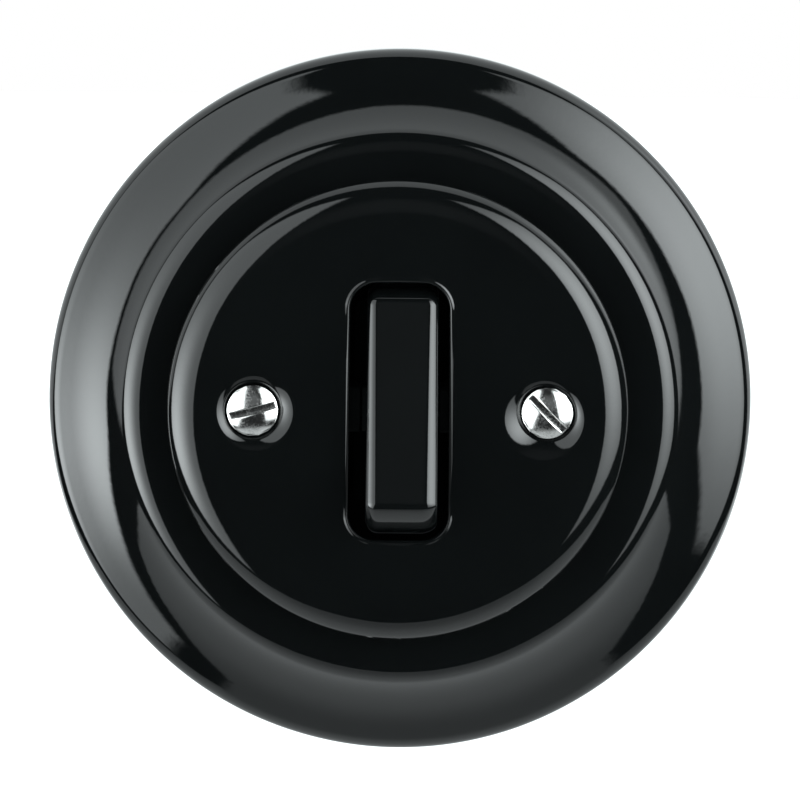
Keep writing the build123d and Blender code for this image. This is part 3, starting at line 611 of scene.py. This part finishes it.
def cover_mesh():
    """Shoulder and spigot, two dishes with their bosses, the slot, and the flats between them."""
    bm = bmesh.new()
    turn = radians(SHOULDER_TURN)
    wall_top = COVER_FACE - SHOULDER_ROUND * (1 - cos(turn))
    face_r = COVER_R - SHOULDER_ROUND * sin(turn)
    shoulder = rounded_outline([
        (face_r - SHOULDER_ON_FACE, COVER_FACE, 0),
        (face_r + SHOULDER_ROUND * tan(turn / 2), COVER_FACE, SHOULDER_ROUND - SHOULDER_SLACK),
        (COVER_R, wall_top, EDGE_SOFT),
        (COVER_R, FRAME_HEIGHT, EDGE_SOFT),
        (SPIGOT_OUTER_R, FRAME_HEIGHT, EDGE_SOFT),
        (SPIGOT_OUTER_R, SPIGOT_END, SPIGOT_SOFT),
        (SPIGOT_INNER_R, SPIGOT_END, SPIGOT_SOFT),
        (SPIGOT_INNER_R, COVER_UNDER, EDGE_SOFT),
        (SPIGOT_INNER_R - SHOULDER_ON_BACK, COVER_UNDER, 0),
    ], arc_step=radians(3))
    bands = [skin(bm, [
        circle_loop(COVER_ASIDE if p.y > FRAME_HEIGHT else 0, p.x, p.y, COVER_STEPS) for p in shoulder
    ])]
    lip_turn, slope = radians(DISH_LIP_TURN), radians(DISH_SLOPE)
    lip_run = DISH_LIP * tan(lip_turn / 2)
    bowl_run = lip_run + DISH_BOWL * tan((slope - lip_turn) / 2)
    mouth_r = DISH_R - lip_run
    bowl_r = mouth_r - bowl_run * cos(lip_turn)
    bowl_height = COVER_FACE - bowl_run * sin(lip_turn)
    seat_r = bowl_r - (bowl_height - DISH_FLOOR) / tan(slope)
    dish = rounded_outline([
        (DISH_R + DISH_ON_FACE, COVER_FACE, 0),
        (mouth_r, COVER_FACE, DISH_LIP),
        (bowl_r, bowl_height, DISH_BOWL),
        (seat_r, DISH_FLOOR, EDGE_SOFT),
        (COVER_HOLE_R, DISH_FLOOR, HOLE_SOFT),
        (COVER_HOLE_R, BOSS_END, HOLE_SOFT),
        (BOSS_R, BOSS_END, EDGE_SOFT),
        (BOSS_R, COVER_UNDER, BOSS_SOFT),
        (BOSS_R + DISH_ON_BACK, COVER_UNDER, 0),
    ], arc_step=radians(4))
    for x, aside, above, wider in DISHES:
        loops = []
        for p in dish:
            lean = max(0, p.y - DISH_FLOOR) / (COVER_FACE - DISH_FLOOR)
            shift = Vector((aside * lean, 0, above * lean)) * MM
            circle = circle_loop(x, p.x + wider * lean, p.y, DISH_STEPS)
            loops.append([point + shift for point in circle])
        bands.append(skin(bm, loops))
    edge = rolled_edge(SLOT_EDGE)
    wall = rounded_outline([
        (0, COVER_FACE - edge[0][1], 0),
        (SLOT_DRAFT, COVER_UNDER, SLOT_SOFT),
        (SLOT_DRAFT + SLOT_ON_BACK, COVER_UNDER, 0),
    ], arc_step=radians(8))
    lip = [Vector((edge[-1][0] + SLOT_ON_FACE, COVER_FACE))]
    lip += [Vector((x, COVER_FACE - drop)) for x, drop in reversed(edge)] + wall[1:]
    loops = []
    for p in lip:
        loop = slot_loop(SLOT_ASIDE, SLOT_W / 2 + p.x, SLOT_LENGTH / 2 + p.x, SLOT_CORNER + p.x, p.y)
        rise = BEAD_HEIGHT * eased((BEAD_FROM - p.x) / BEAD_RUN) * eased((p.y - COVER_UNDER) / BEAD_DEPTH)
        loops.append([point + Vector((0, -rise * corner_share(point), 0)) * MM for point in loop])
    bands.append(skin(bm, loops))
    flat_between(bm, [band[0] for band in bands])
    flat_between(bm, [band[-1] for band in bands])
    return mesh_of(bm, "cover_plate_glazed")


def rocker_matrix():
    """From the key's own axes (across, along its length, outwards) to the row frame."""
    tilt = radians(ROCKER_TILT)
    along = Vector((0, sin(tilt), cos(tilt)))
    out = Vector((0, -cos(tilt), sin(tilt)))
    turn = Matrix((Vector((1, 0, 0)), along, out)).transposed()
    return Matrix.Translation((0, -PIVOT_HEIGHT * MM, 0)) @ turn.to_4x4()


def key_outline(inset):
    """Half-way round the key from end to end (along, out), drawn in by an inset: end, top, end."""
    turn = radians(KEY_END_TURN)
    edge_centre = Vector((KEY_FLAT, KEY_TOP - KEY_END_EDGE))
    end_centre = edge_centre + (KEY_END_EDGE - KEY_END_ROUND) * Vector((sin(turn), cos(turn)))
    foot = acos((KEY_FLOOR - end_centre.y) / (KEY_END_ROUND - inset))
    turns = [foot + (turn - foot) * k / KEY_END_STEPS for k in range(KEY_END_STEPS)]
    half = [end_centre + (KEY_END_ROUND - inset) * Vector((sin(t), cos(t))) for t in turns]
    turns = [turn * (1 - k / KEY_TURN_STEPS) for k in range(KEY_TURN_STEPS + 1)]
    half += [edge_centre + (KEY_END_EDGE - inset) * Vector((sin(t), cos(t))) for t in turns]
    top = []
    for k in range(1, KEY_ALONG_STEPS):
        top.append(Vector((KEY_FLAT * (1 - 2 * k / KEY_ALONG_STEPS), KEY_TOP - inset)))
    return half + top + [Vector((-p.x, p.y)) for p in reversed(half)]


def key_mesh():
    """A bar with curved ends, edges rounded all over and a socket underneath."""
    bm = bmesh.new()

    def side_rows(side, arcs, taper):
        """Rows of points from a side in to the face; the rounding is wider towards the lower end."""
        rows = []
        for off, inset in rolled_edge(arcs):
            row = []
            for p in key_outline(inset):
                x = KEY_ASIDE + side * (KEY_W / 2 - off * (1 - taper * p.x / KEY_FLAT))
                row.append(Vector((x, p.x, p.y)) * MM)
            rows.append(row)
        return rows

    left = side_rows(-1, KEY_LEFT_EDGE, KEY_LEFT_TAPER)
    right = side_rows(1, KEY_RIGHT_EDGE, KEY_RIGHT_TAPER)[::-1]
    face = []
    for k in range(1, KEY_ACROSS_STEPS):
        face.append([a.lerp(b, k / KEY_ACROSS_STEPS) for a, b in zip(left[-1], right[0])])
    rows = [[bm.verts.new(point) for point in row] for row in left + face + right]
    for row, following in zip(rows, rows[1:]):
        for i in range(len(row) - 1):
            bm.faces.new((row[i], row[i + 1], following[i + 1], following[i]))
    for row in (rows[0], rows[-1]):
        bm.faces.new(row)
    half_w, half_l = KEY_SOCKET_W / 2, KEY_SOCKET_LENGTH / 2
    corners = [(-half_w, half_l), (half_w, half_l), (half_w, -half_l), (-half_w, -half_l)]
    socket = skin(bm, [
        [Vector((x, a, o)) * MM for x, a in corners] for o in (KEY_FLOOR, KEY_FLOOR + KEY_SOCKET_DEPTH)
    ])
    bm.faces.new(socket[1])
    foot = [row[0] for row in rows] + [row[-1] for row in reversed(rows)]
    flat_between(bm, [foot, socket[0]])
    mesh = mesh_of(bm, "rocker_key_glazed")
    mesh.transform(rocker_matrix())
    return mesh


# Metal

SCREW_SEAT = 21.3
LID_SCREW_X, LID_SCREW_Z, LID_SCREW_SEAT = 10.2, 17.4, 3.0
SPRING_FOOT, SPRING_HEIGHT, SPRING_R, SPRING_WIRE_R, SPRING_TURNS = -6.625, 4.05, 1.755, 0.225, 5.0


def slotted_screw(head_r, edge, dome, slot_w, slot_depth, shank_r, length):
    """A domed slotted screw along -Y, seated at Y = 0, with softened slot edges and rim."""
    bm = bmesh.new()
    soft, rim = 0.2, 0.06
    rim_r = head_r - 1.5 * rim
    sphere_r = (head_r**2 + dome**2) / (2 * dome)
    floor = edge + dome - slot_depth

    def dome_height(radius):
        return edge + dome - sphere_r + sqrt(sphere_r**2 - radius**2)

    floor_r = min(sqrt(sphere_r**2 - (sphere_r - slot_depth) ** 2), 0.97 * rim_r)
    half = slot_w / 2
    share = sqrt(floor_r**2 - half**2) / sqrt(rim_r**2 - half**2)
    spread = [rim_r - (rim_r - half - soft) * sin(pi / 2 * k / 14) for k in range(15)]
    flank = [(v, None) for v in spread]
    flank += [(half + soft * (1 - sin(t)), soft * (1 - cos(t))) for t in (pi / 8, pi / 4, 3 * pi / 8, pi / 2)]
    bed = [(half, floor + rim), (half - 0.4 * rim, floor + 0.3 * rim), (half - rim, floor)]
    rows = [(v, "flank", cut) for v, cut in flank] + [(v, "bed", level) for v, level in bed]
    rows += [(-v, kind, value) for v, kind, value in reversed(rows)]
    columns = [-1 + 0.5 * k / 6 for k in range(6)] + [-0.5 + k / 20 for k in range(20)]
    columns += [0.5 + 0.5 * k / 6 for k in range(7)]
    grid = []
    for v, kind, value in rows:
        full = sqrt(max(rim_r**2 - v**2, 0.0))
        inner = full * share
        row = []
        for s in columns:
            u = 2 * s * inner
            if abs(s) > 0.5:
                u = copysign(inner + (abs(s) - 0.5) * 2 * (full - inner), s)
            top = dome_height(hypot(u, v))
            if kind == "bed":
                height = min(top, value)
            else:
                height = top if value is None else min(top, max(top - value, floor + rim))
            row.append(bm.verts.new(Vector((u, -height, v)) * MM))
        grid.append(row)
    for row, following in zip(grid, grid[1:]):
        for i in range(len(columns) - 1):
            bm.faces.new((row[i], row[i + 1], following[i + 1], following[i]))
    bmesh.ops.remove_doubles(bm, verts=bm.verts, dist=1e-8)
    bmesh.ops.dissolve_degenerate(bm, edges=bm.edges, dist=1e-8)
    border = [v for v in bm.verts if v.is_boundary]
    border.sort(key=lambda v: atan2(v.co.z, v.co.x))
    turns = [atan2(v.co.z, v.co.x) for v in border]
    tops = [-v.co.y / MM for v in border]
    rings = [border]
    for radius, drop in ((head_r - 0.4 * rim, 0.6 * rim), (head_r, 1.6 * rim)):
        rings.append([
            bm.verts.new(Vector((radius * cos(t), drop - top, radius * sin(t))) * MM)
            for t, top in zip(turns, tops)
        ])
    for radius, height in (
        (head_r, rim), (head_r - rim, 0), (shank_r, 0), (shank_r, 0.4 - length), (shank_r - 0.4, -length)
    ):
        rings.append([bm.verts.new(Vector((radius * cos(t), -height, radius * sin(t))) * MM) for t in turns])
    for ring, following in zip(rings, rings[1:]):
        for i in range(len(ring)):
            j = (i + 1) % len(ring)
            bm.faces.new((ring[i], ring[j], following[j], following[i]))
    bm.faces.new(rings[-1])
    return mesh_of(bm, "slotted_screw")


def points_mesh(places):
    """A mesh of loose points (x, height, z, turn in degrees)."""
    mesh = bpy.data.meshes.new("places")
    mesh.from_pydata([Vector((x, -h, z)) * MM for x, h, z, turn in places], [], [])
    mesh.attributes.new("turn", "FLOAT", "POINT").data.foreach_set("value", [radians(p[3]) for p in places])
    return mesh


def wound_wire(tree, matrix, **sizes):
    """A coil or thread from sizes in millimetres, moved to its place."""
    for name in ("coil_radius", "coil_height", "wire_radius"):
        sizes[name] *= MM
    mesh = grown(bpy.data.meshes.new("start"), tree, **sizes)
    mesh.transform(matrix)
    return mesh


def joined(*meshes):
    bm = bmesh.new()
    for mesh in meshes:
        bm.from_mesh(mesh)
    mesh = bpy.data.meshes.new("joined")
    bm.to_mesh(mesh)
    bm.free()
    return mesh


def softened(node, width, segments=2):
    """A copy of a CAD node with its sharp edges broken."""
    bm = bmesh.new()
    bm.from_mesh(frame["nodes"][node].data)
    bmesh.ops.remove_doubles(bm, verts=bm.verts, dist=1e-6)
    bmesh.ops.dissolve_limit(bm, angle_limit=radians(1), verts=bm.verts, edges=bm.edges)
    mesh = bpy.data.meshes.new(node + "_soft")
    bm.to_mesh(mesh)
    bm.free()
    carrier = new_object("carrier", mesh)
    bevel = carrier.modifiers.new("broken_edges", "BEVEL")
    bevel.width = width * MM
    bevel.segments = segments
    bevel.limit_method = "ANGLE"
    bevel.angle_limit = radians(32)
    bevel.harden_normals = True
    result = bpy.data.meshes.new_from_object(carrier.evaluated_get(bpy.context.evaluated_depsgraph_get()))
    carrier.modifiers.clear()
    bpy.data.objects.remove(carrier)
    return result


def face_outwards(mesh):
    """Turns a closed mesh right side out where its faces point inwards."""
    bm = bmesh.new()
    bm.from_mesh(mesh)
    if bm.calc_volume(signed=True) < 0:
        mesh.flip_normals()
    bm.free()


def dress(name, mesh, *nodes, sharp_angle=None):
    """Puts a finished mesh in the scene in place of CAD nodes, with their finish and body."""
    slot = SLOT_OF[nodes[0]]
    face_outwards(mesh)
    mesh.materials.clear()
    mesh.materials.append(FINISHES[slot])
    if sharp_angle:
        mesh.shade_smooth()
        mesh.set_sharp_from_angle(angle=radians(sharp_angle))
    piece = new_object(name, mesh)
    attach(piece, BODY_OF[nodes[0]])
    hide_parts(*nodes)
    return piece


waviness = kiln_waviness_tree()
dress(
    "frame_ring_glazed",
    grown(frame_mesh(), waviness, wave_height=0.00009, wave_size=0.016, seed=3.0, finish=GLAZE),
    "frame_ring",
)
dress(
    "cover_plate_glazed",
    grown(cover_mesh(), waviness, wave_height=0.00006, wave_size=0.012, seed=8.0, finish=GLAZE),
    "cover_plate",
)
dress(
    "rocker_key_glazed",
    grown(key_mesh(), waviness, wave_height=0.00007, wave_size=0.011, seed=5.0, finish=GLAZE),
    "rocker_key",
    sharp_angle=40,
)

wire = wound_wire_tree()
down_the_shank = Matrix.Rotation(-pi / 2, 4, "X")
screw_places = set_screws_tree()


def screw_set(name, node, screw_sizes, thread_from, thread_length, pitch, places):
    """Slotted screws with wound threads, one on each place."""
    shank_r = screw_sizes["shank_r"]
    thread = wound_wire(
        wire,
        Matrix.Translation((0, thread_from * MM, 0)) @ down_the_shank,
        turns=thread_length / pitch, coil_radius=shank_r - 0.12, coil_height=thread_length, wire_radius=0.2,
        wire_sides=4, closing=0.0, finish=FINISHES[SLOT_OF[node]],
    )
    screw = new_object("screw", joined(slotted_screw(**screw_sizes), thread))
    mesh = grown(points_mesh(places), screw_places, screw=screw, finish=FINISHES[SLOT_OF[node]])
    bpy.data.objects.remove(screw)
    dress(name, mesh, node, sharp_angle=38)


screw_set(
    "cover_screws_plated", "cover_screws",
    dict(head_r=3.56, edge=0.52, dome=1.22, slot_w=0.9, slot_depth=1.07, shank_r=1.7, length=14.0),
    thread_from=5.6, thread_length=8.0, pitch=0.7,
    places=[(-SCREW_X, SCREW_SEAT, 0.0, -14.6), (SCREW_X, SCREW_SEAT, 0.0, 45.0)],
)
screw_set(
    "lid_screws_threaded", "lid_screws",
    dict(head_r=2.7, edge=1.1, dome=0.6, slot_w=0.8, slot_depth=0.8, shank_r=1.2, length=9.3),
    thread_from=2.4, thread_length=6.5, pitch=0.5,
    places=[
        (side * LID_SCREW_X, LID_SCREW_SEAT, end * LID_SCREW_Z, turn)
        for side, end, turn in ((-1, -1, 12.0), (1, -1, 71.0), (-1, 1, 128.0), (1, 1, 40.0))
    ],
)
spring_foot = rocker_matrix() @ Matrix.Translation((0, 0, SPRING_FOOT * MM))
spring = dress(
    "plunger_spring_wound",
    wound_wire(
        wire, spring_foot, turns=SPRING_TURNS, coil_radius=SPRING_R, coil_height=SPRING_HEIGHT,
        wire_radius=SPRING_WIRE_R, wire_sides=14, closing=0.42, finish=FINISHES["spring_steel"],
    ),
    "plunger_spring",
    sharp_angle=50,
)
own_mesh(spring)
for node, width in (
    ("mounting_strap", 0.15), ("mechanism_base", 0.25), ("mechanism_lid", 0.2), ("rocker_cradle", 0.15),
    ("cover_pillars", 0.15), ("common_terminal", 0.12), ("upper_terminal", 0.12), ("lower_terminal", 0.12),
    ("contact_lever", 0.12),
):
    dress(node + "_softened", softened(node, width), node)


# Studio: a pale floor, a tall soft light on each side, a pale background, dark in front and above

# Camera and floor, in metres and degrees
CAMERA_RISE, CAMERA_DISTANCE, CAMERA_LENS, CAMERA_ROLL = 5.35, 0.8, 252.7, 0.55
CAMERA_AIM = (0.0, -0.004, 0.0)
FLOOR_LEVEL, FLOOR_HALF = -0.075, 3.0
# Card behind the hollow: how far up it starts and how far behind the wall plane it stands
SHADE_FROM, SHADE_BEHIND = 30.6, 0.3
# Table, as shares of a direction's drop below the object: aside, soft front edge, sides (widening, half)
TABLE_ASIDE, TABLE_FRONT, TABLE_SIDES = 0.15, (-0.77, -0.68), ((1.5, 1.49), (0.5, 1.6))
# Strengths of the light: the table near and far, the ceiling, and what is left in glossy and in matt surfaces
TABLE_STRENGTH = (0.5, 0.8)
CEILING_WAY, CEILING_EDGE, CEILING_STRENGTH = (0.0, -0.906, 0.423), 0.9, 0.09
GLOSS_FILL, MATT_FILL = 0.022, 0.7
STUDIO_TINT = (0.935, 1.0, 1.012)


def soft_light_group():
    """Strength of one soft light for each direction: brightest at its core, cut by five edges."""
    edges = ["Edge %d" % k for k in range(5)]
    inputs = {name: "Vector" for name in ["Way", "Facing", "Across", "Upward"] + edges}
    for name in ("Softness", "Glow", "Core", "Core Across", "Core Up", "Core Width", "Core Height"):
        inputs[name] = "Float"
    tree, given = value_group("soft_light", inputs, ("Strength",))

    def along(axis):
        return dot(tree, given["Way"], given[axis])

    def spread(value, centre, size):
        share = calc(tree, "DIVIDE", calc(tree, "SUBTRACT", value, centre), size)
        return calc(tree, "MULTIPLY", share, share)

    depth = calc(tree, "MAXIMUM", along("Facing"), 0.05)
    across, up = [calc(tree, "DIVIDE", along(axis), depth) for axis in ("Across", "Upward")]
    core_across = spread(across, given["Core Across"], given["Core Width"])
    core_up = spread(up, given["Core Up"], given["Core Height"])
    falloff = calc(tree, "EXPONENT", calc(tree, "MULTIPLY", calc(tree, "ADD", core_across, core_up), -1.0))
    strength = calc(tree, "ADD", given["Glow"], calc(tree, "MULTIPLY", given["Core"], falloff))
    outside = calc(tree, "MULTIPLY", given["Softness"], -1.0)
    for edge in edges:
        strength = calc(tree, "MULTIPLY", strength, ramp(tree, along(edge), outside, given["Softness"]))
    place(tree, "NodeGroupOutput", {"Strength": strength})
    return tree


def table_light(tree, axes):
    """Strength of the pale table that the glaze reflects from below, a band that widens towards the back."""
    below = calc(tree, "MAXIMUM", calc(tree, "MULTIPLY", axes["Z"], -1.0), 0.02)
    back = calc(tree, "DIVIDE", axes["Y"], below)
    across = calc(tree, "DIVIDE", axes["X"], below)
    aside = calc(tree, "ABSOLUTE", calc(tree, "SUBTRACT", across, TABLE_ASIDE))
    sides = []
    for widening, half in TABLE_SIDES:
        sides.append(calc(tree, "ADD", calc(tree, "MULTIPLY", back, widening), half))
    inside = calc(tree, "SUBTRACT", calc(tree, "MINIMUM", *sides), aside)
    strength = calc(tree, "MULTIPLY", ramp(tree, back, *TABLE_FRONT), ramp(tree, inside, -0.06, 0.06))
    strength = calc(tree, "MULTIPLY", strength, ramp(tree, axes["Z"], 0.0, -0.05))
    return calc(tree, "MULTIPLY", strength, ramp(tree, axes["Y"], -0.5, 0.0, *TABLE_STRENGTH))


def studio_world():
    world = bpy.data.worlds.new("studio")
    bpy.context.scene.world = world
    world.use_nodes = True
    tree = world.node_tree
    tree.nodes.clear()
    way = place(tree, "ShaderNodeTexCoord").outputs["Generated"]
    axes = place(tree, "ShaderNodeSeparateXYZ", {0: way}).outputs
    group = soft_light_group()

    def soft_light(aside, above, roll, corners, **sizes):
        """A light that faces a direction, with corners as angles (off the view, round it from the right)."""
        facing = Vector((cos(above) * sin(aside), -cos(above) * cos(aside), sin(above)))
        level = Vector((0, 0, 1)).cross(facing).normalized()
        across = Matrix.Rotation(roll, 3, facing) @ level
        node = place(tree, "ShaderNodeGroup", node_tree=group)
        tree.links.new(way, node.inputs["Way"])
        node.inputs["Facing"].default_value = facing
        node.inputs["Across"].default_value = across
        node.inputs["Upward"].default_value = facing.cross(across)
        ways = []
        for off, turn in corners:
            off, turn = radians(off), radians(turn)
            ways.append(Vector((sin(off) * cos(turn), -cos(off), -sin(off) * sin(turn))))
        for k, corner in enumerate(ways):
            edge = corner.cross(ways[(k + 1) % 5]).normalized()
            node.inputs["Edge %d" % k].default_value = edge * copysign(1, edge.dot(facing))
        for name, value in sizes.items():
            node.inputs[name.replace("_", " ")].default_value = value
        return node.outputs["Strength"]

    left = soft_light(
        -1.30, 0.14, 0.31, [(65, -105), (90, -138), (97, 168), (66, 128), (23, 172)],
        Softness=0.035, Glow=2.0, Core=7.4,
        Core_Across=-0.17, Core_Up=-0.34, Core_Width=0.50, Core_Height=0.42,
    )
    right = soft_light(
        1.22, 0.30, 0.01, [(61.5, -75), (79, -53), (88, 13), (49, 43), (32, -5)],
        Softness=0.035, Glow=1.6, Core=6.5,
        Core_Across=-0.25, Core_Up=0.02, Core_Width=0.62, Core_Height=0.57,
    )
    table = table_light(tree, axes)
    ceiling = ramp(tree, dot(tree, way, CEILING_WAY), CEILING_EDGE, 1.0, 0.0, CEILING_STRENGTH)
    paper_wall = soft_light(
        pi, 0.3, 0.0, [(85, -38), (85, -100), (100, -178), (130, 150), (120, 22)],
        Softness=0.03, Glow=1.15, Core=1.8,
        Core_Across=-2.2, Core_Up=1.2, Core_Width=0.9, Core_Height=1.2,
    )
    rays = place(tree, "ShaderNodeLightPath").outputs
    light = calc(tree, "ADD", calc(tree, "ADD", left, right), calc(tree, "ADD", table, paper_wall))
    light = calc(tree, "ADD", light, ceiling)
    light = calc(tree, "ADD", light, ramp(tree, rays["Is Diffuse Ray"], 0.0, 1.0, GLOSS_FILL, MATT_FILL))
    studio = place(tree, "ShaderNodeBackground", {"Color": colour(*STUDIO_TINT), "Strength": light})
    paper = place(tree, "ShaderNodeBackground", {"Color": colour(1.0, 1.0, 1.0), "Strength": 1.0})
    seen = {0: rays["Is Camera Ray"], 1: studio.outputs[0], 2: paper.outputs[0]}
    mixed = place(tree, "ShaderNodeMixShader", seen)
    place(tree, "ShaderNodeOutputWorld", {"Surface": mixed.outputs[0]})


def stage_sheet(name, mesh, finish, scale, darkest, palest, roughness):
    """A sheet of paper or card that belongs to the studio."""
    material, tree, shader, coords = new_material(finish)
    tone = noise(tree, coords, scale)
    paper = blend_colour(tree, tone, colour(darkest, darkest, darkest), colour(palest, palest, palest))
    link(tree, paper, shader, "Base Color")
    shader.inputs["Roughness"].default_value = roughness
    mesh.materials.append(material)
    sheet = new_object(name, mesh)
    return sheet


def studio_floor():
    mesh = bpy.data.meshes.new("floor")
    corners = [(x * FLOOR_HALF, y * FLOOR_HALF, FLOOR_LEVEL) for x, y in ((-1, -1), (1, -1), (1, 1), (-1, 1))]
    mesh.from_pydata(corners, [], [(0, 1, 2, 3)])
    floor = stage_sheet("floor", mesh, "floor_paper", 3.0, 0.84, 0.88, 0.9)
    floor.visible_glossy = False


def wall_shade():
    """Keeps light from behind out of the hollow above the strap, as the wall does, in reflections only."""
    bm = bmesh.new()
    rim = [p for p in circle_loop(0, HOLLOW_R - 0.1, -SHADE_BEHIND, 180) if p.z > SHADE_FROM * MM]
    bm.faces.new([bm.verts.new(point) for point in rim])
    shade = stage_sheet("wall_shade", mesh_of(bm, "wall_shade"), "dark_card", 40.0, 0.004, 0.006, 1.0)
    shade.visible_camera = shade.visible_diffuse = shade.visible_shadow = False


def studio_camera():
    camera = bpy.data.objects.new("camera", bpy.data.cameras.new("camera"))
    bpy.context.collection.objects.link(camera)
    camera.data.lens = CAMERA_LENS
    camera.data.sensor_width = 36.0
    camera.data.clip_start = 0.01
    rise = radians(CAMERA_RISE)
    x, y, z = CAMERA_AIM
    camera.location = (x, y - CAMERA_DISTANCE * cos(rise), z + CAMERA_DISTANCE * sin(rise))
    camera.rotation_mode = "XYZ"
    camera.rotation_euler = (radians(90 - CAMERA_RISE), 0.0, 0.0)
    camera.rotation_euler.rotate_axis("Z", radians(CAMERA_ROLL))
    bpy.context.scene.camera = camera


studio_world()
studio_floor()
wall_shade()
studio_camera()
bpy.context.scene.view_settings.view_transform = "Standard"
